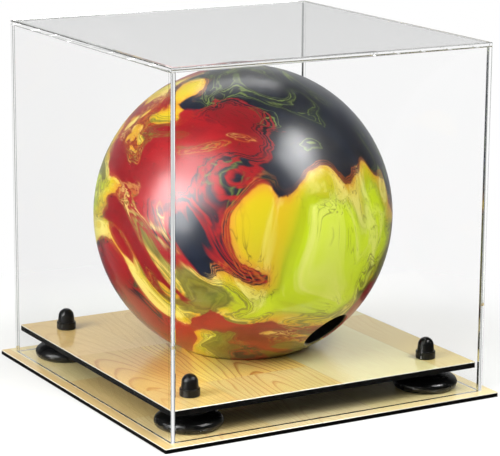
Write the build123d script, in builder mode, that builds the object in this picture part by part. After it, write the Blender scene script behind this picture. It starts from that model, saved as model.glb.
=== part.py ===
"""Bowling ball display case: a lift-off clear cover over a raised platform that the ball sits in.

Sizes are in millimetres. The origin is the centre of the base board's underside, +Z is up and -Y is the front.
"""

from build123d import *
import math
import os

os.makedirs("parts", exist_ok=True)

# Driving dimensions: the ball and the room that the clear cover leaves round it
ball_diameter = 217.0
room_beside = 15.5
room_in_front = 15.5
room_above = 22.35

# Clear cover: five bonded sheets
sheet = 3.0
bond_line = 0.1
edge_polish = 0.35

# Boards: a black core with a wood-look skin on top
laminate = 0.5
base_core = 2.7
base_margin = 8.5
platform_core = 3.8
platform_clearance = 1.0
board_corner = 1.0
skin_bevel = 0.25

# The round cut-out that the ball sits in
seat_diameter = 91.6
ball_seat_gap = 0.3

# Grip holes of the ball: the two finger holes lie side by side, and their axes pass its centre apart
finger_hole = 24.0
finger_depth = 32.0
finger_spacing = 31.0
finger_pitch = 8.0
thumb_hole = 34.9
thumb_depth = 58.0
hole_bevel = 1.2

# Risers between the boards
riser_diameter = 46.8
riser_height = 17.3
riser_foot_share = 0.26
riser_shoulder_share = 0.34
riser_neck_share = 0.55
riser_neck_fillet = 1.2
riser_setback = 2.6

# Fasteners: a countersunk bolt from below, a hex nut and a push-on cap on each
bolt_diameter = 6.0
bolt_clearance = 0.3
bolt_head_recess = 0.15
bolt_head_land = 0.05
bolt_proud = 4.95
bolt_end_chamfer = 0.7
key_across_flats = 4.0
key_depth = 1.6
nut_across_flats = 10.0
nut_height = 5.0
nut_face_inset = 0.1
nut_corner_angle = 30.0
nut_bore_clearance = 0.05
cap_fit = 0.15
cap_wall = 1.25
cap_ledge = 1.0
cap_taper = 0.4
cap_collar_lip = 0.45
cap_crown = 5.5
cap_edge = 0.6

# Fits and heights worked out from the sizes above
running_fit = 0.1
cover_inner_width = ball_diameter + 2 * room_beside
cover_inner_depth = ball_diameter + 2 * room_in_front
cover_width = cover_inner_width + 2 * sheet
cover_depth = cover_inner_depth + 2 * sheet
base_width = cover_width + 2 * base_margin
base_depth = cover_depth + 2 * base_margin
base_top = base_core + laminate
platform_width = cover_inner_width - 2 * platform_clearance
platform_depth = cover_inner_depth - 2 * platform_clearance
riser_top = base_top + riser_height
platform_core_top = riser_top + platform_core
platform_top = platform_core_top + laminate
foot_round = riser_height * riser_foot_share
shoulder_rise = riser_height * riser_shoulder_share
neck_radius = riser_diameter / 2 * riser_neck_share
bolt_inset = riser_diameter / 2 + riser_setback
bolt_x = platform_width / 2 - bolt_inset
bolt_y = platform_depth / 2 - bolt_inset
bolt_head_height = base_core - bolt_head_land
bolt_head_diameter = bolt_diameter + 2 * bolt_head_height
bolt_tip = platform_top + nut_height + bolt_proud
hole_diameter = bolt_diameter + 2 * bolt_clearance
head_hole_diameter = bolt_head_diameter + 2 * bolt_clearance
ball_radius = ball_diameter / 2
seat_radius = seat_diameter / 2
ball_centre = platform_top + math.sqrt(ball_radius**2 - seat_radius**2) + ball_seat_gap
cover_foot = base_top + running_fit
cover_top_under = ball_centre + ball_radius + room_above

corners = {
    "front_left": (-bolt_x, -bolt_y),
    "front_right": (bolt_x, -bolt_y),
    "back_left": (-bolt_x, bolt_y),
    "back_right": (bolt_x, bolt_y),
}
bolt_places = list(corners.values())


def save(piece, name):
    """Label a finished piece with its node name and write it."""
    piece.part.label = name
    export_step(piece.part, f"parts/{name}.step")


# Base board: flat on the table, with four holes countersunk from below
with BuildPart() as base_board:
    with BuildSketch(Plane.XY):
        RectangleRounded(base_width, base_depth, board_corner)
    extrude(amount=base_core)
    for place in bolt_places:
        with Locations(Plane(origin=(*place, 0), z_dir=(0, 0, -1))):
            CounterSinkHole(hole_diameter / 2, head_hole_diameter / 2, counter_sink_angle=90)
save(base_board, "base_board")

# Wood-look skin over the whole base board, its top edge eased
with BuildPart() as base_laminate:
    with BuildSketch(Plane.XY.offset(base_core)):
        RectangleRounded(base_width, base_depth, board_corner)
        with Locations(*bolt_places):
            Circle(hole_diameter / 2, mode=Mode.SUBTRACT)
    extrude(amount=laminate)
    base_rim = base_laminate.faces().sort_by(Axis.Z)[-1].outer_wire().edges()
    chamfer(base_rim, skin_bevel)
save(base_laminate, "base_laminate")

# Platform board: fits loosely inside the cover, with the round seat cut-out
with BuildPart() as platform_board:
    with BuildSketch(Plane.XY.offset(riser_top)):
        RectangleRounded(platform_width, platform_depth, board_corner)
        Circle(seat_radius, mode=Mode.SUBTRACT)
        with Locations(*bolt_places):
            Circle(hole_diameter / 2, mode=Mode.SUBTRACT)
    extrude(amount=platform_core)
save(platform_board, "platform_board")

# Wood-look skin on the platform, with the same cut-out and holes
with BuildPart() as platform_laminate:
    with BuildSketch(Plane.XY.offset(platform_core_top)):
        RectangleRounded(platform_width, platform_depth, board_corner)
        Circle(seat_radius, mode=Mode.SUBTRACT)
        with Locations(*bolt_places):
            Circle(hole_diameter / 2, mode=Mode.SUBTRACT)
    extrude(amount=laminate)
    platform_rim = platform_laminate.faces().sort_by(Axis.Z)[-1].outer_wire().edges()
    chamfer(platform_rim, skin_bevel)
save(platform_laminate, "platform_laminate")


def riser(x, y):
    """A spacer turned about its bolt: a low domed disc, widest near its foot, with a neck up to the platform."""
    axis = Plane(origin=(x, y, 0), x_dir=(1, 0, 0), z_dir=(0, -1, 0))
    bore = hole_diameter / 2
    rim = riser_diameter / 2
    widest = base_top + foot_round
    shoulder = widest + shoulder_rise
    with BuildPart() as disc:
        with BuildSketch(axis):
            with BuildLine():
                Line((bore, base_top), (rim - foot_round, base_top))
                RadiusArc((rim - foot_round, base_top), (rim, widest), -foot_round)
                EllipticalCenterArc((neck_radius, widest), rim - neck_radius, shoulder_rise)
                Line((neck_radius, shoulder), (neck_radius, riser_top))
                Line((neck_radius, riser_top), (bore, riser_top))
                Line((bore, riser_top), (bore, base_top))
            make_face()
        revolve(axis=Axis((x, y, 0), (0, 0, 1)))
        neck_foot = disc.edges().filter_by_position(Axis.Z, shoulder - 0.01, shoulder + 0.01)
        fillet(neck_foot, riser_neck_fillet)
    return disc


def bolt(x, y):
    """A countersunk bolt, head down in the base board, with a hex key recess."""
    axis = Plane(origin=(x, y, 0), x_dir=(1, 0, 0), z_dir=(0, -1, 0))
    shank = bolt_diameter / 2
    head = bolt_head_diameter / 2
    foot = bolt_head_recess
    with BuildPart() as screw:
        with BuildSketch(axis):
            with BuildLine():
                Polyline(
                    (0, foot),
                    (head, foot),
                    (shank, foot + bolt_head_height),
                    (shank, bolt_tip - bolt_end_chamfer),
                    (shank - bolt_end_chamfer, bolt_tip),
                    (0, bolt_tip),
                    close=True,
                )
            make_face()
        revolve(axis=Axis((x, y, 0), (0, 0, 1)))
        with BuildSketch(Plane(origin=(x, y, foot))):
            RegularPolygon(key_across_flats / 2, 6, major_radius=False)
        extrude(amount=key_depth, mode=Mode.SUBTRACT)
    return screw


def nut(x, y):
    """A hex nut on the platform, its corners turned off at both ends."""
    axis = Plane(origin=(x, y, 0), x_dir=(1, 0, 0), z_dir=(0, -1, 0))
    corner = nut_across_flats / math.sqrt(3)
    flat = nut_across_flats / 2 - nut_face_inset
    slope = (corner - flat) * math.tan(math.radians(nut_corner_angle))
    top = platform_top + nut_height
    with BuildPart() as hex_nut:
        with BuildSketch(Plane(origin=(x, y, platform_top))):
            RegularPolygon(nut_across_flats / 2, 6, major_radius=False)
            Circle(bolt_diameter / 2 + nut_bore_clearance, mode=Mode.SUBTRACT)
        extrude(amount=nut_height)
        with BuildSketch(axis):
            with BuildLine():
                Polyline(
                    (0, platform_top),
                    (flat, platform_top),
                    (corner, platform_top + slope),
                    (corner, top - slope),
                    (flat, top),
                    (0, top),
                    close=True,
                )
            make_face()
        revolve(axis=Axis((x, y, 0), (0, 0, 1)), mode=Mode.INTERSECT)
    return hex_nut


def cap(x, y):
    """A push-on nut cap: a collar with a hex socket, under a tapered dome."""
    axis = Plane(origin=(x, y, 0), x_dir=(1, 0, 0), z_dir=(0, -1, 0))
    socket_corner = (nut_across_flats / 2 + cap_fit) * 2 / math.sqrt(3)
    collar = socket_corner + cap_wall
    dome = collar - cap_ledge
    neck = dome - cap_taper
    foot = platform_top
    socket_top = foot + nut_height + cap_fit
    ledge = socket_top + cap_collar_lip
    well = bolt_diameter / 2 + bolt_clearance
    well_top = bolt_tip + cap_fit
    top = well_top + cap_crown
    shoulder = top - neck
    with BuildPart() as dome_cap:
        with BuildSketch(axis):
            with BuildLine():
                Polyline(
                    (0, foot),
                    (collar - cap_edge, foot),
                    (collar, foot + cap_edge),
                    (collar, ledge - cap_edge / 2),
                    (collar - cap_edge / 2, ledge),
                    (dome, ledge),
                    (neck, shoulder),
                )
                RadiusArc((neck, shoulder), (0, top), -neck)
                Line((0, top), (0, foot))
            make_face()
        revolve(axis=Axis((x, y, 0), (0, 0, 1)))
        with BuildSketch(Plane(origin=(x, y, foot))):
            RegularPolygon(nut_across_flats / 2 + cap_fit, 6, major_radius=False)
        extrude(amount=socket_top - foot, mode=Mode.SUBTRACT)
        with BuildSketch(Plane(origin=(x, y, socket_top))):
            Circle(well)
        extrude(amount=well_top - socket_top, mode=Mode.SUBTRACT)
    return dome_cap


# One riser, bolt, nut and cap at each corner
for corner, (x, y) in corners.items():
    save(riser(x, y), f"riser_{corner}")
    save(bolt(x, y), f"bolt_{corner}")
    save(nut(x, y), f"nut_{corner}")
    save(cap(x, y), f"cap_{corner}")


def wall(width, depth, x, y, outer):
    """An upright cover sheet, with its polished edges eased on the outer face."""
    with BuildPart() as sheet_part:
        with BuildSketch(Plane(origin=(x, y, cover_foot))):
            Rectangle(width, depth)
        extrude(amount=cover_top_under - bond_line - cover_foot)
        face = sheet_part.faces().sort_by(Axis((0, 0, 0), outer))[-1]
        chamfer(face.edges().filter_by(Axis.Z), edge_polish)
    return sheet_part


# Cover: the side sheets run the full depth, and the front and back sheets fit between them
side_offset = (cover_width - sheet) / 2
face_offset = (cover_depth - sheet) / 2
face_width = cover_inner_width - 2 * bond_line
save(wall(sheet, cover_depth, -side_offset, 0, (-1, 0, 0)), "cover_left")
save(wall(sheet, cover_depth, side_offset, 0, (1, 0, 0)), "cover_right")
save(wall(face_width, sheet, 0, -face_offset, (0, -1, 0)), "cover_front")
save(wall(face_width, sheet, 0, face_offset, (0, 1, 0)), "cover_back")

# The top sheet lies on all four walls
with BuildPart() as cover_top:
    with BuildSketch(Plane.XY.offset(cover_top_under)):
        Rectangle(cover_width, cover_depth)
    extrude(amount=sheet)
    chamfer(cover_top.faces().sort_by(Axis.Z)[-1].edges(), edge_polish)
    chamfer(cover_top.edges().filter_by(Axis.Z), edge_polish)
save(cover_top, "cover_top")


def towards(azimuth, elevation):
    """Unit direction from the ball's centre, azimuth from +X towards +Y."""
    level = math.cos(math.radians(elevation))
    return Vector(
        level * math.cos(math.radians(azimuth)),
        level * math.sin(math.radians(azimuth)),
        math.sin(math.radians(elevation)),
    )


def grip_drill(mouth, aim, diameter, depth):
    """The solid that a grip hole takes away: a bore towards its aim and the cone of its eased edge."""
    radius = diameter / 2
    rim = math.sqrt(ball_radius**2 - (radius + hole_bevel) ** 2) - ball_radius
    cone_top = 2 * hole_bevel
    bore_axis = (mouth - aim).normalized()
    bore_side = bore_axis.cross(Vector(0, 0, 1)).normalized()
    cone_axis = (mouth - middle).normalized()
    cone_side = cone_axis.cross(Vector(0, 0, 1)).normalized()
    with BuildPart() as drill:
        with BuildSketch(Plane(origin=mouth, x_dir=bore_side, z_dir=bore_side.cross(bore_axis))):
            with Locations((0, -depth)):
                Rectangle(radius, depth + cone_top, align=(Align.MIN, Align.MIN))
        revolve(axis=Axis(mouth, bore_axis))
        with BuildSketch(Plane(origin=mouth, x_dir=cone_side, z_dir=cone_side.cross(cone_axis))):
            with BuildLine():
                Polyline(
                    (0, rim - hole_bevel - radius),
                    (radius + hole_bevel + cone_top, rim + cone_top),
                    (0, rim + cone_top),
                    close=True,
                )
            make_face()
        revolve(axis=Axis(mouth, cone_axis))
    return drill


# Grip: the thumb hole aims at the ball's centre, and the two finger holes side by side are pitched apart
middle = Vector(0, 0, ball_centre)
thumb = towards(-68.4, -44.8)
upper_finger = towards(-14.5, -12.5)
lower_finger = towards(-3.0, -24.5)
finger_row = (upper_finger - lower_finger).normalized()
finger_reach = math.sqrt(ball_radius**2 - (finger_spacing / 2) ** 2)
finger_middle = middle + (upper_finger + lower_finger).normalized() * finger_reach
drills = [grip_drill(middle + thumb * ball_radius, middle, thumb_hole, thumb_depth)]
for sign in (1, -1):
    mouth = finger_middle + finger_row * (sign * finger_spacing / 2)
    drills.append(grip_drill(mouth, middle + finger_row * (sign * finger_pitch), finger_hole, finger_depth))

# Ball: a turned sphere less the grip holes
with BuildPart() as bowling_ball:
    with BuildSketch(Plane(origin=(0, 0, 0), x_dir=(-1, 1, 0), z_dir=(1, 1, 0))):
        with BuildLine():
            CenterArc((0, ball_centre), ball_radius, -90, 180)
            Line((0, ball_centre + ball_radius), (0, ball_centre - ball_radius))
        make_face()
    revolve(axis=Axis.Z)
    for drill in drills:
        add(drill.part, mode=Mode.SUBTRACT)
save(bowling_ball, "bowling_ball")
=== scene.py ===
# %% [markdown]
# # Bowling ball display case
# A clear acrylic cover stands on a wood-look base board. Inside it a raised platform on four round
# rubber risers holds a marbled ball in a round cut-out.
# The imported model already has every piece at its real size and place, so nothing is modelled here.
# This script gives each piece its finish, and sets up the studio and the camera.
# Everything is in metres, and sizes that a maker would write in millimetres go through mm().

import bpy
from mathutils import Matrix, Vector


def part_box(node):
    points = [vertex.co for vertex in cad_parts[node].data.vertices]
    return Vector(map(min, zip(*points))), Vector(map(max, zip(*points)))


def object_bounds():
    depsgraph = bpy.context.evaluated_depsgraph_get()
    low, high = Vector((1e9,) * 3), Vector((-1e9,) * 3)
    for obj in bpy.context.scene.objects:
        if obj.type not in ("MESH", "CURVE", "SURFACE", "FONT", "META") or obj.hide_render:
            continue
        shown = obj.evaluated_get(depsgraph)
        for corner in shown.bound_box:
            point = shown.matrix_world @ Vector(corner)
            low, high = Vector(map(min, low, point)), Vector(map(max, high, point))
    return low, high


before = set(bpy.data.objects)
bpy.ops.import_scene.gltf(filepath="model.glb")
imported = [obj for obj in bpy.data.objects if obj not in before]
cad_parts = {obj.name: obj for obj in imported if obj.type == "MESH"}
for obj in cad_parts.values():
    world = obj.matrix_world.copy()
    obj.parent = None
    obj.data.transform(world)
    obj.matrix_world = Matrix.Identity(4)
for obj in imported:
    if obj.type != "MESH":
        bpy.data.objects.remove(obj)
cad_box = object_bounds()
print("packed model with", len(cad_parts), "nodes")

# %% Libraries and the units that the script works in
import math

import bpy
from mathutils import Matrix, Vector


def mm(value):
    """A size in millimetres, in metres."""
    return value / 1000


def repeat(size):
    """The scale of a pattern whose features are about this many millimetres across."""
    return 1000 / size


case_low, case_high = cad_box
case_size = case_high - case_low
print("case", [round(side * 1000, 1) for side in case_size], "mm")

# %% [markdown]
# ## Two small helpers for materials
# Colours are picked as sRGB hex values, the way a paint or a print is matched, but the
# renderer mixes light in linear values. One function does that step for every colour.
# Node trees could be wired one call at a time, which takes four lines for each node. A single
# helper adds any node, sets its fields and links its inputs, so that a material reads as a recipe.


# %% Colour and node helpers
def linear(code):
    """An sRGB hex colour as linear red, green, blue and alpha."""
    channels = [int(code[i : i + 2], 16) / 255 for i in (1, 3, 5)]
    return [c / 12.92 if c <= 0.04045 else ((c + 0.055) / 1.055) ** 2.4 for c in channels] + [1.0]


def add_node(tree, kind, inputs=None, stops=None, **fields):
    """Adds a node. Fields are settings, inputs are values or sockets, stops are a ramp's tones."""
    node = tree.nodes.new(kind)
    for name, value in fields.items():
        setattr(node, name, value)
    for name, value in (inputs or {}).items():
        if isinstance(value, bpy.types.NodeSocket):
            tree.links.new(value, node.inputs[name])
        else:
            node.inputs[name].default_value = value
    for index, (place, colour) in enumerate(stops or []):
        bands = node.color_ramp.elements
        band = bands[index] if index < 2 else bands.new(place)
        band.position = place
        band.color = linear(colour)
    return node


def new_material(name):
    """An empty material, as (material, tree, output, place): each point's place on its piece."""
    made = bpy.data.materials.new(name)
    made.use_nodes = True
    made.node_tree.nodes.clear()
    output = add_node(made.node_tree, "ShaderNodeOutputMaterial")
    place = add_node(made.node_tree, "ShaderNodeTexCoord").outputs["Object"]
    return made, made.node_tree, output, place


# A Mix node for colours keeps its sockets at these places
FACTOR, COLOUR_A, COLOUR_B, MIXED = 0, 6, 7, 2
print("helpers ready")

# %% [markdown]
# ## Camera
# The photograph is a product shot: a long lens from about 1.7 m away, a little above the case and
# turned so that the front left upright is nearest. A wide lens close up would splay the uprights.
# The place, heading and lens come from fitting a camera to the corners of the cover and the boards.

# %% Camera at the photograph's viewpoint
camera_place = Vector((mm(-801.2), mm(-1406.8), mm(487.2)))
camera_heading = math.radians(29.83)
camera_tilt = math.radians(-13.05)
camera_roll = math.radians(0.44)
lens_length = 163.25
sensor_width = 36.0
far_clip = 50.0

forward = Vector(
    (
        math.sin(camera_heading) * math.cos(camera_tilt),
        math.cos(camera_heading) * math.cos(camera_tilt),
        math.sin(camera_tilt),
    )
)
level_forward = Vector((forward.x, forward.y, 0)).normalized()
level_right = forward.cross(Vector((0, 0, 1))).normalized()
roll = Matrix.Rotation(-camera_roll, 3, forward)
camera_right = roll @ level_right
camera_up = camera_right.cross(forward)
camera_data = bpy.data.cameras.new("product_camera")
camera_data.lens = lens_length
camera_data.sensor_width = sensor_width
camera_data.clip_end = far_clip
camera = bpy.data.objects.new("product_camera", camera_data)
camera.matrix_world = Matrix.Translation(camera_place) @ Matrix(
    (camera_right, camera_up, -forward)
).transposed().to_4x4()
bpy.context.scene.collection.objects.link(camera)
bpy.context.scene.camera = camera
print("camera", round((camera_place - (case_low + case_high) / 2).length, 3), "m from the case")

# %% [markdown]
# ## Studio
# Product photographs of clear plastic are taken on a white sweep: white below and behind, darker
# towards the camera, with large softboxes. The white shows every polished edge, and the darker room
# in front keeps the ball's colours deep.
# Lamps alone could be turned up until the floor burns out, but that would wash out the object. So
# the floor and the surroundings are white only to the rays that look at them, and the lamps stay at
# a plain level. A ray that was mirrored once sees a dim room instead, pale only behind the case.

# %% What a ray has met on its way, and how bright the studio is in a mirror
# From the photographer's side, at 0, to the backdrop, at 1
room_tones = [(0.30, "#161718"), (0.80, "#28292B"), (0.985, "#B9BABA")]


def ray_kinds(tree):
    """Two sockets: 1 for a ray that looks straight or through plastic, and 1 for a mirrored one."""
    rays = add_node(tree, "ShaderNodeLightPath").outputs
    once = add_node(
        tree, "ShaderNodeMath", {0: rays["Glossy Depth"], 1: 1.0, 2: 0.5}, operation="COMPARE"
    )
    looking = add_node(
        tree,
        "ShaderNodeMath",
        {0: rays["Is Camera Ray"], 1: rays["Is Transmission Ray"]},
        operation="MAXIMUM",
    )
    straight = add_node(
        tree, "ShaderNodeMath", {0: looking.outputs[0], 1: once.outputs[0]}, operation="SUBTRACT"
    )
    straight.use_clamp = True
    return straight.outputs[0], once.outputs[0]


def room_colour(tree, way):
    """The studio in a mirror image: dark on the photographer's side, pale towards the backdrop."""
    unit = add_node(tree, "ShaderNodeVectorMath", {0: way}, operation="NORMALIZE")
    along = add_node(
        tree,
        "ShaderNodeVectorMath",
        {0: unit.outputs[0], 1: tuple(level_forward)},
        operation="DOT_PRODUCT",
    )
    share = add_node(
        tree, "ShaderNodeMapRange", {"Value": along.outputs["Value"], "From Min": -1.0}
    )
    return add_node(
        tree, "ShaderNodeValToRGB", {"Fac": share.outputs[0]}, stops=room_tones
    ).outputs["Color"]


print("backdrop towards", [round(part, 2) for part in level_forward])

# %% Floor that stays white to the camera but keeps the shadow
floor_half = 8.0
floor_gap = mm(0.2)
# The paper keeps its shadow up to the first distance, in metres, and is plain white past the second
shadow_reach = (0.21, 0.36)
# What it adds to its own brightness for a ray that looks straight at it
lift_strength = 0.32
paper_white = "#C0C0BE"
bpy.ops.mesh.primitive_plane_add(size=2 * floor_half, location=(0, 0, -floor_gap))
floor = bpy.context.object
floor.name = "sweep_floor"

sweep, tree, output, place = new_material("white_paper_sweep")
straight, mirrored = ray_kinds(tree)
paper = add_node(tree, "ShaderNodeBsdfDiffuse", {"Color": linear(paper_white)})
lift = add_node(tree, "ShaderNodeMath", {0: straight, 1: lift_strength}, operation="MULTIPLY")
glow = add_node(
    tree, "ShaderNodeEmission", {"Color": linear("#FFFFFF"), "Strength": lift.outputs[0]}
)
near_floor = add_node(tree, "ShaderNodeAddShader", {0: paper.outputs[0], 1: glow.outputs[0]})
away = add_node(tree, "ShaderNodeVectorMath", {0: place}, operation="LENGTH")
far_share = add_node(
    tree,
    "ShaderNodeMapRange",
    {"Value": away.outputs["Value"], "From Min": shadow_reach[0], "From Max": shadow_reach[1]},
    interpolation_type="SMOOTHSTEP",
)
far_seen = add_node(
    tree, "ShaderNodeMath", {0: far_share.outputs[0], 1: straight}, operation="MULTIPLY"
)
far_white = add_node(tree, "ShaderNodeEmission", {"Color": linear("#FFFFFF"), "Strength": 1.0})
seen_floor = add_node(
    tree,
    "ShaderNodeMixShader",
    {0: far_seen.outputs[0], 1: near_floor.outputs[0], 2: far_white.outputs[0]},
)
room = add_node(tree, "ShaderNodeEmission", {"Color": room_colour(tree, place), "Strength": 1.0})
surface = add_node(
    tree, "ShaderNodeMixShader", {0: mirrored, 1: seen_floor.outputs[0], 2: room.outputs[0]}
)
tree.links.new(surface.outputs[0], output.inputs["Surface"])
floor.data.materials.append(sweep)
print("floor", 2 * floor_half, "m across")

# %% Surroundings: white to look at, the room in a mirror image, and a soft fill for matte surfaces
fill_strength = 0.38
world = bpy.data.worlds.new("white_studio")
world.use_nodes = True
bpy.context.scene.world = world
tree = world.node_tree
tree.nodes.clear()
output = add_node(tree, "ShaderNodeOutputWorld")
straight, mirrored = ray_kinds(tree)
sky_way = add_node(tree, "ShaderNodeTexCoord").outputs["Generated"]
fill = add_node(
    tree, "ShaderNodeBackground", {"Color": linear("#FFFFFF"), "Strength": fill_strength}
)
white = add_node(tree, "ShaderNodeBackground", {"Color": linear("#FFFFFF"), "Strength": 1.0})
room = add_node(
    tree, "ShaderNodeBackground", {"Color": room_colour(tree, sky_way), "Strength": 1.0}
)
seen_room = add_node(
    tree, "ShaderNodeMixShader", {0: straight, 1: fill.outputs[0], 2: white.outputs[0]}
)
final = add_node(
    tree, "ShaderNodeMixShader", {0: mirrored, 1: seen_room.outputs[0], 2: room.outputs[0]}
)
tree.links.new(final.outputs[0], output.inputs["Surface"])
print("world fill", fill_strength)


# %% Softboxes at the left, high at the right and behind, with two fills that no mirror image shows
def softbox(name, towards, distance, width, height, power, mirrored):
    """A lamp that faces the case from this direction, with sizes in metres and power in watts."""
    lamp_data = bpy.data.lights.new(name, "AREA")
    lamp_data.shape = "RECTANGLE"
    lamp_data.size = width
    lamp_data.size_y = height
    lamp_data.energy = power
    lamp = bpy.data.objects.new(name, lamp_data)
    way = Vector(towards).normalized()
    lamp.location = way * distance + Vector((0, 0, case_high.z / 2))
    lamp.rotation_mode = "QUATERNION"
    lamp.rotation_quaternion = way.to_track_quat("Z", "Y")
    lamp.visible_glossy = mirrored
    bpy.context.scene.collection.objects.link(lamp)


# Name, direction, distance, width, height, power, and whether mirror images show it
lamps = (
    ("left_softbox", (-0.976, -0.082, 0.191), 1.6, 0.90, 1.05, 29.0, True),
    ("high_softbox", (0.39, -0.45, 0.80), 1.5, 0.46, 0.46, 7.6, True),
    ("left_fill", (-0.80, -0.22, 0.56), 1.6, 1.10, 1.10, 20.0, False),
    ("high_fill", (0.35, -0.64, 0.68), 1.5, 0.65, 0.65, 12.5, False),
    ("back_strip", (0.25, 0.57, 0.78), 1.5, 0.90, 0.35, 3.0, True),
)
for lamp in lamps:
    softbox(*lamp)
print("lamps", len(lamps))

# %% Plain tones, and enough bounces for the light inside a sheet
bpy.context.scene.view_settings.view_transform = "Standard"
# Light runs along inside a sheet by many mirrorings before it leaves at a polished edge
light_paths = bpy.context.scene.cycles
light_paths.max_bounces = 96
light_paths.glossy_bounces = 64
light_paths.transmission_bounces = 32
light_paths.transparent_max_bounces = 32
print("bounces", light_paths.max_bounces)

# %% [markdown]
# ## Wood-look laminate
# Both boards are black hardboard with a printed foil on top. The print shows short staves, 82 mm
# wide and 100 mm long, that run from back to front: a golden one with dense orange-brown growth
# lines lies next to a pale cream one with almost none. The foil's cut edge shows the grey-white
# paper that it is printed on, and its pale colour also paints a highlight along the boards' top
# edges. A hard satin lacquer covers the print.
# A photograph of wood would tile and is tied to one board. Here the staves are counted across and
# along the board, the count picks each stave's tones, and its lines come from geometry: the
# distance from a tree's axis that lies under the stave, divided into rings.
# The lacquer is a coat of its own over the print. Its index starts from that of a hard varnish and
# is raised until the mirror images of the caps and the lamps are as strong as on the object.

# %% Printed foil: the staves
stave_width = 82
stave_length = 100
# Ground colour, and how strong the warm patches and the growth lines are, as greys
stave_kinds = {
    "golden": ("#FFE384", "#A0A0A0", "#FFFFFF"),
    "straw": ("#F0DC94", "#8C8C8C", "#DADADA"),
    "honey": ("#F6D68A", "#B4B4B4", "#C8C8C8"),
    "blush": ("#FFDC94", "#6A6A6A", "#828282"),
    "cream": ("#ECE4AA", "#202020", "#343434"),
    "pale": ("#E4D08C", "#5A5A5A", "#787878"),
    "sand": ("#FEECAE", "#404040", "#4C4C4C"),
    "khaki": ("#F6D690", "#404040", "#6C6C6C"),
    "amber": ("#FFE6A6", "#585858", "#B8B8B8"),
    "oat": ("#FFEDB8", "#303030", "#A0A0A0"),
}


def count_staves(tree, coordinate, size, first):
    """How many staves past this first seam a point lies, with the part of the one that it is on."""
    counted = add_node(
        tree,
        "ShaderNodeMath",
        {0: coordinate, 1: repeat(size), 2: -first / size},
        operation="MULTIPLY_ADD",
    )
    return counted.outputs[0]


def by_stave(tree, number, tones):
    """The tone of each stave from this list, with no blend at the seams."""
    share = add_node(
        tree,
        "ShaderNodeMath",
        {0: number, 1: 1 / len(tones), 2: 0.5 / len(tones)},
        operation="MULTIPLY_ADD",
    )
    stops = [(index / len(tones), tone) for index, tone in enumerate(tones)]
    ramp = add_node(tree, "ShaderNodeValToRGB", {"Fac": share.outputs[0]}, stops=stops)
    ramp.color_ramp.interpolation = "CONSTANT"
    return ramp.outputs["Color"]


print("staves", stave_width, "by", stave_length, "mm,", len(stave_kinds), "kinds")

# %% Printed foil: the growth rings
ring_width = 3.7
heart_depth = 24
# The tree's axis wanders to either side of the stave's middle, slowly along the grain, and leans
sway_size = 45
sway_reach = mm(16)
along_grain = 0.30
axis_lean = 0.14


def growth_rings(tree, place, own, across):
    """Where a point lies within its ring, 0 to 1. The tree's axis lies under the stave."""
    drawn_out = add_node(tree, "ShaderNodeMapping", {"Vector": place, "Scale": (1, along_grain, 1)})
    drift = add_node(
        tree,
        "ShaderNodeTexNoise",
        {
            "Vector": drawn_out.outputs[0],
            "W": own,
            "Scale": repeat(sway_size),
            "Detail": 2.0,
            "Roughness": 0.5,
        },
        noise_dimensions="4D",
    )
    sway = add_node(
        tree,
        "ShaderNodeMapRange",
        {"Value": drift.outputs[0], "To Min": -sway_reach, "To Max": sway_reach},
    )
    swayed = add_node(
        tree,
        "ShaderNodeMath",
        {0: across, 1: mm(stave_width), 2: sway.outputs[0]},
        operation="MULTIPLY_ADD",
    )
    split = add_node(tree, "ShaderNodeSeparateXYZ", {0: place})
    lean = add_node(
        tree,
        "ShaderNodeMath",
        {0: split.outputs["Y"], 1: axis_lean, 2: mm(heart_depth)},
        operation="MULTIPLY_ADD",
    )
    rings_at = add_node(
        tree, "ShaderNodeCombineXYZ", {"X": swayed.outputs[0], "Y": lean.outputs[0]}
    )
    radius = add_node(tree, "ShaderNodeVectorMath", {0: rings_at.outputs[0]}, operation="LENGTH")
    rings = add_node(
        tree,
        "ShaderNodeMath",
        {0: radius.outputs["Value"], 1: repeat(ring_width)},
        operation="MULTIPLY",
    )
    return add_node(tree, "ShaderNodeMath", {0: rings.outputs[0]}, operation="FRACT").outputs[0]


print("rings", ring_width, "mm wide, swaying by", round(sway_reach * 1000), "mm")

# %% Printed foil: warm patches and growth lines on the ground colour
patch_size = 70
patch_stretch = 0.5
warm_patch = "#F0B545"
growth_line = "#C0701C"
# Pale early wood darkens slowly towards each line and starts again sharply behind it
ring_tones = [
    (0.0, "#000000"),
    (0.62, "#3C3C3C"),
    (0.86, "#FFFFFF"),
    (0.94, "#6A6A6A"),
    (1.0, "#000000"),
]


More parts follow.
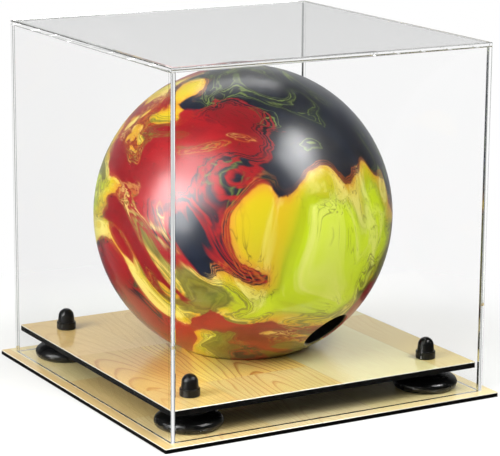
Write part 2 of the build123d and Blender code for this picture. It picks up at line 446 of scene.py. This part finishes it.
def lined_staves(tree, place, number, own, across, kinds):
    """Every stave in its own ground colour, with its warm patches and its growth lines."""
    grounds, glows, line_tones = zip(*kinds)
    broad = add_node(tree, "ShaderNodeMapping", {"Vector": place, "Scale": (1, patch_stretch, 1)})
    patches = add_node(
        tree,
        "ShaderNodeTexNoise",
        {"Vector": broad.outputs[0], "W": own, "Scale": repeat(patch_size), "Detail": 2.0},
        noise_dimensions="4D",
    )
    patch = add_node(
        tree,
        "ShaderNodeMapRange",
        {"Value": patches.outputs[0], "From Min": 0.42, "From Max": 0.62},
    )
    glow = add_node(
        tree,
        "ShaderNodeMath",
        {0: patch.outputs[0], 1: by_stave(tree, number, glows)},
        operation="MULTIPLY",
    )
    ground = add_node(
        tree,
        "ShaderNodeMix",
        {
            FACTOR: glow.outputs[0],
            COLOUR_A: by_stave(tree, number, grounds),
            COLOUR_B: linear(warm_patch),
        },
        data_type="RGBA",
    )
    ring = growth_rings(tree, place, own, across)
    late_wood = add_node(tree, "ShaderNodeValToRGB", {"Fac": ring}, stops=ring_tones)
    # The lines fade where the warm patches fade, so that they don't look ruled
    ragged = add_node(
        tree,
        "ShaderNodeMapRange",
        {"Value": patches.outputs[0], "From Min": 0.30, "From Max": 0.55, "To Min": 0.45},
    )
    late_share = add_node(
        tree,
        "ShaderNodeMath",
        {0: late_wood.outputs["Color"], 1: ragged.outputs[0]},
        operation="MULTIPLY",
    )
    line = add_node(
        tree,
        "ShaderNodeMath",
        {0: late_share.outputs[0], 1: by_stave(tree, number, line_tones)},
        operation="MULTIPLY",
    )
    lined = add_node(
        tree,
        "ShaderNodeMix",
        {FACTOR: line.outputs[0], COLOUR_A: ground.outputs[MIXED], COLOUR_B: linear(growth_line)},
        data_type="RGBA",
    )
    return lined.outputs[MIXED]


print("growth lines in", growth_line, "over patches of", patch_size, "mm")

# %% Printed foil: fibres, seams and the cut edge
# The print's fibres are finer than this, and are drawn as coarse as shows
fibre_width = 0.9
fibre_length = 26
seam_reach = 0.5
fibre_brown = "#CC9A58"
seam_brown = "#A87C45"
# The pale paper of the cut edge, which also stands for a painted highlight along it
paper_edge_highlight = "#CFC9B8"


def fine_fibres(tree, place, colour):
    """This colour with fine fibres over it, and the fibres' height."""
    stretched = add_node(
        tree,
        "ShaderNodeMapping",
        {
            "Vector": place,
            "Scale": (repeat(fibre_width), repeat(fibre_length), repeat(fibre_length)),
        },
    )
    fibre = add_node(
        tree,
        "ShaderNodeTexNoise",
        {"Vector": stretched.outputs[0], "Scale": 1.0, "Detail": 3.0, "Roughness": 0.6},
    )
    fibre_share = add_node(
        tree,
        "ShaderNodeMapRange",
        {"Value": fibre.outputs[0], "From Min": 0.35, "From Max": 0.7, "To Max": 0.26},
    )
    wood = add_node(
        tree,
        "ShaderNodeMix",
        {FACTOR: fibre_share.outputs[0], COLOUR_A: colour, COLOUR_B: linear(fibre_brown)},
        data_type="RGBA",
    )
    return wood.outputs[MIXED], fibre.outputs[0]


def seams_and_edges(tree, across, colour):
    """This colour with thin brown seams, and pale paper, also a painted highlight, on faces that
    don't look up.
    """
    off_middle = add_node(tree, "ShaderNodeMath", {0: across}, operation="ABSOLUTE")
    seam = add_node(
        tree,
        "ShaderNodeMapRange",
        {
            "Value": off_middle.outputs[0],
            "From Min": 0.5 - seam_reach / stave_width,
            "From Max": 0.5,
            "To Max": 0.35,
        },
    )
    jointed = add_node(
        tree,
        "ShaderNodeMix",
        {FACTOR: seam.outputs[0], COLOUR_A: colour, COLOUR_B: linear(seam_brown)},
        data_type="RGBA",
    )
    # Faces that don't look up, the cut edge and its bevel, are painted pale: the paper and a painted
    # highlight
    facing = add_node(tree, "ShaderNodeNewGeometry")
    upward = add_node(tree, "ShaderNodeSeparateXYZ", {0: facing.outputs["Normal"]})
    cut = add_node(
        tree,
        "ShaderNodeMapRange",
        {"Value": upward.outputs["Z"], "From Min": 0.95, "From Max": 0.80},
    )
    printed = add_node(
        tree,
        "ShaderNodeMix",
        {FACTOR: cut.outputs[0], COLOUR_A: jointed.outputs[MIXED], COLOUR_B: linear(paper_edge_highlight)},
        data_type="RGBA",
    )
    return printed.outputs[MIXED]


print("fibres", fibre_width, "by", fibre_length, "mm")

# %% Printed foil: the print under its lacquer, for both boards
lacquer_index = 1.65
fibre_height = mm(0.05)


def maple_foil(name, seed, first_seam, first_joint, rows):
    """Printed staves under lacquer. Rows list their kinds from the left, the front row first."""
    made, tree, output, place = new_material(name)
    kinds = [stave_kinds[kind] for row in rows for kind in row.split()]
    split = add_node(tree, "ShaderNodeSeparateXYZ", {0: place})
    past_seams = count_staves(tree, split.outputs["X"], stave_width, first_seam)
    past_joints = count_staves(tree, split.outputs["Y"], stave_length, first_joint)
    column = add_node(tree, "ShaderNodeMath", {0: past_seams}, operation="FLOOR")
    row = add_node(tree, "ShaderNodeMath", {0: past_joints}, operation="FLOOR")
    number = add_node(
        tree,
        "ShaderNodeMath",
        {0: row.outputs[0], 1: len(rows[0].split()), 2: column.outputs[0]},
        operation="MULTIPLY_ADD",
    ).outputs[0]
    share_across = add_node(tree, "ShaderNodeMath", {0: past_seams}, operation="FRACT")
    across = add_node(
        tree, "ShaderNodeMath", {0: share_across.outputs[0], 1: 0.5}, operation="SUBTRACT"
    ).outputs[0]
    own = add_node(tree, "ShaderNodeMath", {0: number, 1: seed}, operation="ADD").outputs[0]
    lined = lined_staves(tree, place, number, own, across, kinds)
    wood, fibre = fine_fibres(tree, place, lined)
    bump = add_node(
        tree, "ShaderNodeBump", {"Height": fibre, "Strength": 0.12, "Distance": fibre_height}
    )
    lacquer = add_node(
        tree,
        "ShaderNodeBsdfPrincipled",
        {
            "Base Color": seams_and_edges(tree, across, wood),
            "Roughness": 0.32,
            "IOR": 1.5,
            "Coat Weight": 1.0,
            "Coat Roughness": 0.09,
            "Coat IOR": lacquer_index,
            "Normal": bump.outputs[0],
        },
    )
    tree.links.new(lacquer.outputs[0], output.inputs["Surface"])
    return made


foils = {
    "platform_laminate": maple_foil(
        "maple_foil_platform",
        seed=3.0,
        first_seam=-154,
        first_joint=-175,
        rows=("honey straw cream pale", "honey golden cream pale", "blush blush cream cream"),
    ),
    "base_laminate": maple_foil(
        "maple_foil_base",
        seed=8.0,
        first_seam=-211,
        first_joint=-165,
        rows=(
            "khaki amber oat sand sand",
            "khaki khaki golden sand sand",
            "khaki sand khaki sand khaki",
        ),
    ),
}
print("foils", sorted(foils))

# %% [markdown]
# ## Black materials
# The boards' edges show dyed hardboard: matte, slightly fibrous and sawn. The risers are moulded
# rubber with a soft sheen, and the nut caps are soft vinyl, a little duller.
# A flat black would make them one material. All three are nearly the same tone, so what tells them
# apart is how rough each one is, the size of its grain and the faint cloud in its tone.


# %% Black board, rubber and vinyl
cloud_size = 18
rough_spread = 0.06


def black_finish(name, tone, worn_tone, roughness, grain, grain_height, gloss, streak=1.0):
    """A near-black finish with a grain of this many millimetres, drawn out along Z by streak."""
    made, tree, output, place = new_material(name)
    stretch = add_node(tree, "ShaderNodeMapping", {"Vector": place, "Scale": (1, 1, 1 / streak)})
    grains = add_node(
        tree,
        "ShaderNodeTexNoise",
        {"Vector": stretch.outputs[0], "Scale": repeat(grain), "Detail": 4.0, "Roughness": 0.6},
    )
    cloud = add_node(
        tree, "ShaderNodeTexNoise", {"Vector": place, "Scale": repeat(cloud_size), "Detail": 2.0}
    )
    colour = add_node(
        tree,
        "ShaderNodeMix",
        {FACTOR: cloud.outputs[0], COLOUR_A: linear(tone), COLOUR_B: linear(worn_tone)},
        data_type="RGBA",
    )
    rough = add_node(
        tree,
        "ShaderNodeMapRange",
        {
            "Value": cloud.outputs[0],
            "To Min": roughness - rough_spread,
            "To Max": roughness + rough_spread,
        },
    )
    bump = add_node(
        tree,
        "ShaderNodeBump",
        {"Height": grains.outputs[0], "Strength": 0.35, "Distance": mm(grain_height)},
    )
    surface = add_node(
        tree,
        "ShaderNodeBsdfPrincipled",
        {
            "Base Color": colour.outputs[MIXED],
            "Roughness": rough.outputs[0],
            "IOR": 1.5,
            "Specular IOR Level": gloss,
            "Normal": bump.outputs[0],
        },
    )
    tree.links.new(surface.outputs[0], output.inputs["Surface"])
    return made


# Sawn board edges are rough and matte. Their fibre lies flat in the board, and is drawn coarser
# than it is so that it shows
hardboard = black_finish(
    "black_hardboard",
    tone="#050404",
    worn_tone="#0A0908",
    roughness=0.66,
    grain=0.8,
    grain_height=0.10,
    gloss=0.12,
    streak=0.4,
)
# Moulded rubber takes a blurred mirror image of the softboxes
rubber = black_finish(
    "moulded_black_rubber",
    tone="#060606",
    worn_tone="#0B0B0B",
    roughness=0.27,
    grain=0.7,
    grain_height=0.01,
    gloss=0.36,
)
# Dipped vinyl is a little softer in its highlights
vinyl = black_finish(
    "soft_black_vinyl",
    tone="#070707",
    worn_tone="#0D0D0D",
    roughness=0.30,
    grain=0.5,
    grain_height=0.02,
    gloss=0.26,
)
print("black finishes", hardboard.name, rubber.name, vinyl.name)

# %% [markdown]
# ## Zinc-plated steel
# The bolts and nuts are cut from bright zinc-plated steel: a pale grey metal with a faint cloudy
# patina. They are hidden in the boards and caps, and only the bolt heads show from below.
# One noise drives both tone and roughness, because the duller patches of a plating are also darker.

# %% Zinc plate
patina_size = 1.6
zinc, tree, output, place = new_material("zinc_plated_steel")
patina = add_node(
    tree, "ShaderNodeTexNoise", {"Vector": place, "Scale": repeat(patina_size), "Detail": 3.0}
)
tone = add_node(
    tree,
    "ShaderNodeValToRGB",
    {"Fac": patina.outputs[0]},
    stops=[(0.3, "#B9BCC0"), (0.7, "#D6D7D6")],
)
rough = add_node(
    tree, "ShaderNodeMapRange", {"Value": patina.outputs[0], "To Min": 0.24, "To Max": 0.42}
)
plate = add_node(
    tree,
    "ShaderNodeBsdfPrincipled",
    {"Base Color": tone.outputs["Color"], "Metallic": 1.0, "Roughness": rough.outputs[0]},
)
tree.links.new(plate.outputs[0], output.inputs["Surface"])
print("metal", zinc.name)

# %% [markdown]
# ## Clear acrylic
# The cover is five sheets of 3 mm cast acrylic, bonded at their edges and polished. Clear plastic
# has almost no colour of its own: it is seen by its edges, which carry light along the sheet, by a
# faint mirror image on each face, and by the thin grey lines of its arrises and bonds. Those grey
# lines are painted shade: the sheet's colour turns grey where refraction darkens the arrises and
# bonds.
# Each sheet is a solid with two faces, so a refracting shader bends light as the real sheet does.
# Cast acrylic has an index of 1.49. This studio is dim in every mirror image, where a real one is
# bright, so whole sheets with that index come out too dark. They are matched to the object with
# 1.2, and only the rim round the top, which is seen along its whole length, keeps 1.49.
# Lamps can't find their way through refraction, so the sheet is fully open to shadow rays and to
# the soft light between matte surfaces.

# %% Where the sheets meet
acrylic, tree, output, place = new_material("clear_cast_acrylic")
cover_low, cover_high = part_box("cover_top")
half_cover = (cover_high.x - cover_low.x) / 2
sheet = cover_high.z - cover_low.z
arris = mm(0.6)
# How far past a sheet's faces the rim's marks reach
rim_spare = mm(0.3)
# The cover stands round the Z axis, so one level in X or Y stands for both of its sides
outside = (("X", half_cover), ("Y", half_cover), ("Z", cover_high.z))
bonds = [(axis, level - sheet) for axis, level in outside]
sheet_middles = [(axis, level - sheet / 2) for axis, level in outside]
split = add_node(tree, "ShaderNodeSeparateXYZ", {0: place})


def close_to(tree, split, levels, width):
    """For each axis and its level, 1 where a point is within this width of it, above or below."""
    marks = []
    for axis, level in levels:
        off = add_node(tree, "ShaderNodeMath", {0: split.outputs[axis]}, operation="ABSOLUTE")
        mark = add_node(
            tree, "ShaderNodeMath", {0: off.outputs[0], 1: level, 2: width}, operation="COMPARE"
        )
        marks.append(mark.outputs[0])
    return marks


def either(tree, one, two):
    """1 where one of two marks is 1."""
    return add_node(tree, "ShaderNodeMath", {0: one, 1: two}, operation="MAXIMUM").outputs[0]


# A line of painted shade runs where a point is near the outside or the bond on two axes or more
by_outside = close_to(tree, split, outside, arris)
by_bond = close_to(tree, split, bonds, arris / 2)
line_x, line_y, line_z = (either(tree, *marks) for marks in zip(by_outside, by_bond))
level_lines = add_node(tree, "ShaderNodeMath", {0: line_x, 1: line_y}, operation="ADD")
line_count = add_node(
    tree, "ShaderNodeMath", {0: level_lines.outputs[0], 1: line_z}, operation="ADD"
)
on_line = add_node(tree, "ShaderNodeMath", {0: line_count.outputs[0], 1: 1.0}, operation="SUBTRACT")
on_line.use_clamp = True
# The rim lies in the top sheet, over the walls
over_side, over_face, in_top = close_to(tree, split, sheet_middles, sheet / 2 + rim_spare)
over_wall = either(tree, over_side, over_face)
on_rim = add_node(tree, "ShaderNodeMath", {0: over_wall, 1: in_top}, operation="MULTIPLY")
print("sheet", round(sheet * 1000, 1), "mm, cover", round(half_cover * 2000, 1), "mm across")

# %% Cast acrylic sheet
pane_index = 1.2
rim_index = 1.49
wave_size = 60
wave_height = mm(0.2)
# Grey for the painted shade along the arrises and bonds
painted_line_shade = "#A0A3A0"
rays = add_node(tree, "ShaderNodeLightPath")
# Cast sheet is never quite flat, which bends its mirror images a little
polish = add_node(
    tree, "ShaderNodeTexNoise", {"Vector": place, "Scale": repeat(wave_size), "Detail": 1.0}
)
wave = add_node(
    tree, "ShaderNodeBump", {"Height": polish.outputs[0], "Strength": 0.02, "Distance": wave_height}
)
# The sheet's colour turns grey on those lines: painted shade, where refraction would darken it
line_shade_tone = add_node(
    tree,
    "ShaderNodeMix",
    {FACTOR: on_line.outputs[0], COLOUR_A: linear("#FFFFFF"), COLOUR_B: linear(painted_line_shade)},
    data_type="RGBA",
)
pane, rim = (
    add_node(
        tree,
        "ShaderNodeBsdfPrincipled",
        {
            "Base Color": line_shade_tone.outputs[MIXED],
            "Roughness": 0.0,
            "IOR": index,
            "Transmission Weight": 1.0,
            "Normal": wave.outputs[0],
        },
    )
    for index in (pane_index, rim_index)
)
clear = add_node(
    tree, "ShaderNodeMixShader", {0: on_rim.outputs[0], 1: pane.outputs[0], 2: rim.outputs[0]}
)
lamp_way = add_node(tree, "ShaderNodeBsdfTransparent", {"Color": linear("#F8FAF9")})
to_lamps = add_node(
    tree,
    "ShaderNodeMixShader",
    {0: rays.outputs["Is Shadow Ray"], 1: clear.outputs[0], 2: lamp_way.outputs[0]},
)
to_matte = add_node(
    tree,
    "ShaderNodeMixShader",
    {0: rays.outputs["Is Diffuse Ray"], 1: to_lamps.outputs[0], 2: lamp_way.outputs[0]},
)
tree.links.new(to_matte.outputs[0], output.inputs["Surface"])
print("panes", pane_index, "rim", rim_index)

# %% [markdown]
# ## Marbled resin
# The ball's shell is poured from several coloured resins that flow round each other before they
# set: a deep red body, a near-black blue with a few olive wisps, and a yellow that turns lime where
# it is thick, in places under an olive veil. Where the pours rub past each other their edges are
# crisp, with thin layered lines and dark threads. Elsewhere they blend a little.
# A plain noise gives round blots. Bending the coordinates three times by finer and finer noises,
# which is what stirring does, draws the blots out into folds, tails and feathered edges. Each
# colour is then one height of a slow field, and its thin lines are narrow bands just below it.

# %% Stir the space that the pours lie in
ball_low, ball_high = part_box("bowling_ball")
ball_radius = (ball_high.x - ball_low.x) / 2
ball_middle = Vector((0, 0, ball_high.z - ball_radius))
# Another seed pours another ball
pour_seed = 58.25
# Size of the swirls and how far they pull, in millimetres, and how ragged they are
swirls = ((120, 170, 0.0), (55, 80, 1.0), (22, 20, 3.0))

resin, tree, output, place = new_material("marbled_resin")
centred = add_node(tree, "ShaderNodeMapping", {"Vector": place, "Location": tuple(-ball_middle)})
start = add_node(
    tree,
    "ShaderNodeMapping",
    {"Vector": centred.outputs[0], "Location": (pour_seed, 0.37 * pour_seed, 0.71 * pour_seed)},
)
flow = start.outputs[0]
for size, reach, detail in swirls:
    swirl = add_node(
        tree,
        "ShaderNodeTexNoise",
        {"Vector": flow, "Scale": repeat(size), "Detail": detail, "Roughness": 0.45},
    )
    both_ways = add_node(
        tree,
        "ShaderNodeVectorMath",
        {0: swirl.outputs["Color"], 1: (0.5, 0.5, 0.5)},
        operation="SUBTRACT",
    )
    pulled = add_node(
        tree,
        "ShaderNodeVectorMath",
        {0: both_ways.outputs[0], 1: (mm(reach),) * 3, 2: flow},
        operation="MULTIPLY_ADD",
    )
    flow = pulled.outputs[0]
print("ball", round(ball_radius * 2000, 1), "mm across")

# %% Where each pour lies
feather_size = 13
feather_reach = 0.055
# How fast a thin line starts and ends
line_fade = 0.002


def pour(tree, shift, size, way, lean):
    """A slow field over the stirred space, whose colour gathers at both ends of this axis."""
    moved = add_node(tree, "ShaderNodeVectorMath", {0: flow, 1: shift}, operation="ADD")
    field = add_node(
        tree,
        "ShaderNodeTexNoise",
        {"Vector": moved.outputs[0], "Scale": repeat(size), "Detail": 2.0, "Roughness": 0.4},
    )
    along = add_node(
        tree,
        "ShaderNodeVectorMath",
        {0: centred.outputs[0], 1: tuple(Vector(way).normalized() / ball_radius)},
        operation="DOT_PRODUCT",
    )
    near_axis = add_node(
        tree,
        "ShaderNodeMath",
        {0: along.outputs["Value"], 1: along.outputs["Value"]},
        operation="MULTIPLY",
    )
    leaned = add_node(
        tree,
        "ShaderNodeMath",
        {0: near_axis.outputs[0], 1: lean, 2: field.outputs[0]},
        operation="MULTIPLY_ADD",
    )
    feathers = add_node(
        tree,
        "ShaderNodeTexNoise",
        {
            "Vector": moved.outputs[0],
            "Scale": repeat(feather_size),
            "Detail": 3.0,
            "Roughness": 0.65,
        },
    )
    total = add_node(
        tree,
        "ShaderNodeMath",
        {0: feathers.outputs[0], 1: feather_reach, 2: leaned.outputs[0]},
        operation="MULTIPLY_ADD",
    )
    return total.outputs[0]


def edge(tree, field, height, lines=(), softness=0.005):
    """1 above this height of a field, and in thin lines between these pairs of heights below it."""
    stops = [(height - softness, "#000000"), (height, "#FFFFFF")]
    for low, high in lines:
        stops += [(low - line_fade, "#000000"), (low, "#FFFFFF")]
        stops += [(high, "#FFFFFF"), (high + line_fade, "#000000")]
    return add_node(tree, "ShaderNodeValToRGB", {"Fac": field}, stops=stops).outputs["Color"]


dark_way = (0.40, -0.55, 0.73)
yellow_way = (0.20, -0.95, -0.24)
veil_way = (0.25, -0.60, -0.76)
dark_field = pour(tree, shift=(0, 0, 0), size=120, way=dark_way, lean=0.24)
yellow_field = pour(tree, shift=(0.31, 0.11, 0.47), size=100, way=yellow_way, lean=0.22)
veil_field = pour(tree, shift=(0.83, 0.59, 0.13), size=90, way=veil_way, lean=0.16)
wisp_field = pour(tree, shift=(0.19, 0.67, 0.41), size=60, way=dark_way, lean=0.10)
print("four fields over", len(swirls), "stirrings")

# %% Edges of the pours
rubbed_size = 48
# Between which heights of its field each pour has its thin lines
dark_lines = ((0.588, 0.591), (0.602, 0.606), (0.617, 0.625))
yellow_lines = ((0.615, 0.617), (0.627, 0.630), (0.638, 0.642))
veil_lines = ((0.610, 0.613), (0.626, 0.630), (0.642, 0.652))
wisp_lines = ((0.606, 0.608), (0.624, 0.629), (0.650, 0.652))
dark_blended = edge(tree, dark_field, height=0.640, softness=0.014)
dark_lined = edge(tree, dark_field, height=0.640, lines=dark_lines)
yellow_blended = edge(tree, yellow_field, height=0.655, softness=0.012)
yellow_lined = edge(tree, yellow_field, height=0.652, lines=yellow_lines)
veil_share = edge(tree, veil_field, height=0.675, lines=veil_lines, softness=0.012)
wisp_share = edge(tree, wisp_field, height=0.720, lines=wisp_lines)
rubbing = add_node(
    tree,
    "ShaderNodeTexNoise",
    {"Vector": centred.outputs[0], "Scale": repeat(rubbed_size), "Detail": 1.0},
)
rubbed = add_node(
    tree, "ShaderNodeMapRange", {"Value": rubbing.outputs[0], "From Min": 0.42, "From Max": 0.54}
)
yellow_share, dark_share = (
    add_node(
        tree,
        "ShaderNodeMix",
        {FACTOR: rubbed.outputs[0], COLOUR_A: blended, COLOUR_B: lined},
        data_type="RGBA",
    ).outputs[MIXED]
    for blended, lined in ((yellow_blended, yellow_lined), (dark_blended, dark_lined))
)
print("thin lines", len(dark_lines + yellow_lines + veil_lines + wisp_lines))

# %% The red body and the blue-black with its wisps
depth_size = 60
red_tones = [(0.35, "#6C0A12"), (0.65, "#980F16")]
blue_black_tones = [(0.35, "#06080F"), (0.70, "#0F1626")]
olive_wisp = "#5C6A30"
depth = add_node(
    tree, "ShaderNodeTexNoise", {"Vector": flow, "Scale": repeat(depth_size), "Detail": 3.0}
)
red = add_node(tree, "ShaderNodeValToRGB", {"Fac": depth.outputs[0]}, stops=red_tones)
blue_black = add_node(
    tree, "ShaderNodeValToRGB", {"Fac": depth.outputs[0]}, stops=blue_black_tones
)
body = add_node(
    tree,
    "ShaderNodeMix",
    {FACTOR: dark_share, COLOUR_A: red.outputs["Color"], COLOUR_B: blue_black.outputs["Color"]},
    data_type="RGBA",
)
# A little of the yellow is drawn through the blue-black as olive wisps
in_dark = add_node(
    tree, "ShaderNodeMath", {0: dark_share, 1: rubbed.outputs[0]}, operation="MULTIPLY"
)
wisps = add_node(
    tree, "ShaderNodeMath", {0: wisp_share, 1: in_dark.outputs[0]}, operation="MULTIPLY"
)
wisped = add_node(
    tree,
    "ShaderNodeMix",
    {FACTOR: wisps.outputs[0], COLOUR_A: body.outputs[MIXED], COLOUR_B: linear(olive_wisp)},
    data_type="RGBA",
)
print("red", red_tones[0][1], "to", red_tones[1][1], "with wisps in", olive_wisp)

# %% The yellow and its olive veil
vein_size = 30
veil_strength = 0.85
pale_vein = "#E6DF86"
# Thin yellow lets the red through at its edge, and thick yellow turns lime
yellow_tones = [
    (0.640, "#A85018"),
    (0.658, "#C48C22"),
    (0.684, "#C4A210"),
    (0.725, "#BCAC10"),
    (0.755, "#A6AC0A"),
    (0.790, "#BACA10"),
    (0.840, "#C6D618"),
]
veil_tones = [
    (0.675, "#77722A"),
    (0.686, "#3E3A16"),
    (0.697, "#625F20"),
    (0.712, "#4A4A1A"),
    (0.724, "#6C6A22"),
    (0.745, "#3A3616"),
    (0.780, "#5A5A1E"),
]
yellow = add_node(tree, "ShaderNodeValToRGB", {"Fac": yellow_field}, stops=yellow_tones)
veins = add_node(
    tree,
    "ShaderNodeTexNoise",
    {
        "Vector": flow,
        "Scale": repeat(vein_size),
        "Detail": 4.0,
        "Roughness": 0.6,
        "Distortion": 0.6,
    },
)
pale_share = add_node(
    tree,
    "ShaderNodeMapRange",
    {"Value": veins.outputs[0], "From Min": 0.50, "From Max": 0.64, "To Max": 0.5},
)
creamy = add_node(
    tree,
    "ShaderNodeMix",
    {FACTOR: pale_share.outputs[0], COLOUR_A: yellow.outputs["Color"], COLOUR_B: linear(pale_vein)},
    data_type="RGBA",
)
veil = add_node(tree, "ShaderNodeMath", {0: veil_share, 1: veil_strength}, operation="MULTIPLY")
olive = add_node(tree, "ShaderNodeValToRGB", {"Fac": veil_field}, stops=veil_tones)
veiled = add_node(
    tree,
    "ShaderNodeMix",
    {FACTOR: veil.outputs[0], COLOUR_A: creamy.outputs[MIXED], COLOUR_B: olive.outputs["Color"]},
    data_type="RGBA",
)
marble = add_node(
    tree,
    "ShaderNodeMix",
    {FACTOR: yellow_share, COLOUR_A: wisped.outputs[MIXED], COLOUR_B: veiled.outputs[MIXED]},
    data_type="RGBA",
)
print("yellow in", len(yellow_tones), "tones under a veil in", len(veil_tones))

# %% Dark threads where the pours rub
thread_strength = 0.6
thread_brown = "#2A2010"
# Where each thread starts, is darkest and ends on the veins' noise
thread_bands = (
    (0.405, 0.411, 0.418),
    (0.455, 0.461, 0.466),
    (0.520, 0.524, 0.529),
    (0.575, 0.581, 0.590),
)
thread_tones = ("#000000", "#FFFFFF", "#000000")
thread_stops = [stop for band in thread_bands for stop in zip(band, thread_tones)]
drawn = add_node(tree, "ShaderNodeValToRGB", {"Fac": veins.outputs[0]}, stops=thread_stops)
drawn_share = add_node(
    tree, "ShaderNodeMath", {0: drawn.outputs["Color"], 1: rubbed.outputs[0]}, operation="MULTIPLY"
)
thinned = add_node(
    tree, "ShaderNodeMath", {0: drawn_share.outputs[0], 1: thread_strength}, operation="MULTIPLY"
)
threaded = add_node(
    tree,
    "ShaderNodeMix",
    {FACTOR: thinned.outputs[0], COLOUR_A: marble.outputs[MIXED], COLOUR_B: linear(thread_brown)},
    data_type="RGBA",
)
print("threads", len(thread_bands), "at a strength of", thread_strength)

# %% Bores dark in their own colour and by painted shade, and the polish
# The bores are painted near-black: partly the bare cut resin that the drill leaves, and partly
# painted shade, because no light finds its way back out of a bore this deep
bore_start = ball_radius - mm(0.9)
bore_fade = mm(0.6)
bore_black_and_shade = "#060607"
haze_size = 25
from_middle = add_node(tree, "ShaderNodeVectorMath", {0: centred.outputs[0]}, operation="LENGTH")
in_bore = add_node(
    tree,
    "ShaderNodeMapRange",
    {
        "Value": from_middle.outputs["Value"],
        "From Min": bore_start + bore_fade,
        "From Max": bore_start,
    },
)
# Past that depth the marbling turns near-black, partly painted shade
surface_colour = add_node(
    tree,
    "ShaderNodeMix",
    {FACTOR: in_bore.outputs[0], COLOUR_A: threaded.outputs[MIXED], COLOUR_B: linear(bore_black_and_shade)},
    data_type="RGBA",
)
haze = add_node(
    tree,
    "ShaderNodeTexNoise",
    {"Vector": centred.outputs[0], "Scale": repeat(haze_size), "Detail": 3.0},
)
rough = add_node(
    tree, "ShaderNodeMapRange", {"Value": haze.outputs[0], "To Min": 0.28, "To Max": 0.36}
)
shell = add_node(
    tree,
    "ShaderNodeBsdfPrincipled",
    {
        "Base Color": surface_colour.outputs[MIXED],
        "Roughness": rough.outputs[0],
        "IOR": 1.53,
        "Coat Weight": 0.35,
        "Coat Roughness": 0.16,
    },
)
tree.links.new(shell.outputs[0], output.inputs["Surface"])
print("bores dark from", round(bore_start * 1000, 1), "mm out")


# %% Give every piece its finish
def finish_for(node):
    """The material of a node, by its name."""
    for start, made in (
        ("cover", acrylic),
        ("riser", rubber),
        ("cap", vinyl),
        ("bolt", zinc),
        ("nut", zinc),
        ("bowling_ball", resin),
    ):
        if node.startswith(start):
            return made
    return foils.get(node, hardboard)


for node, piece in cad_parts.items():
    piece.data.materials.clear()
    piece.data.materials.append(finish_for(node))
print("finished", len(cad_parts), "nodes")
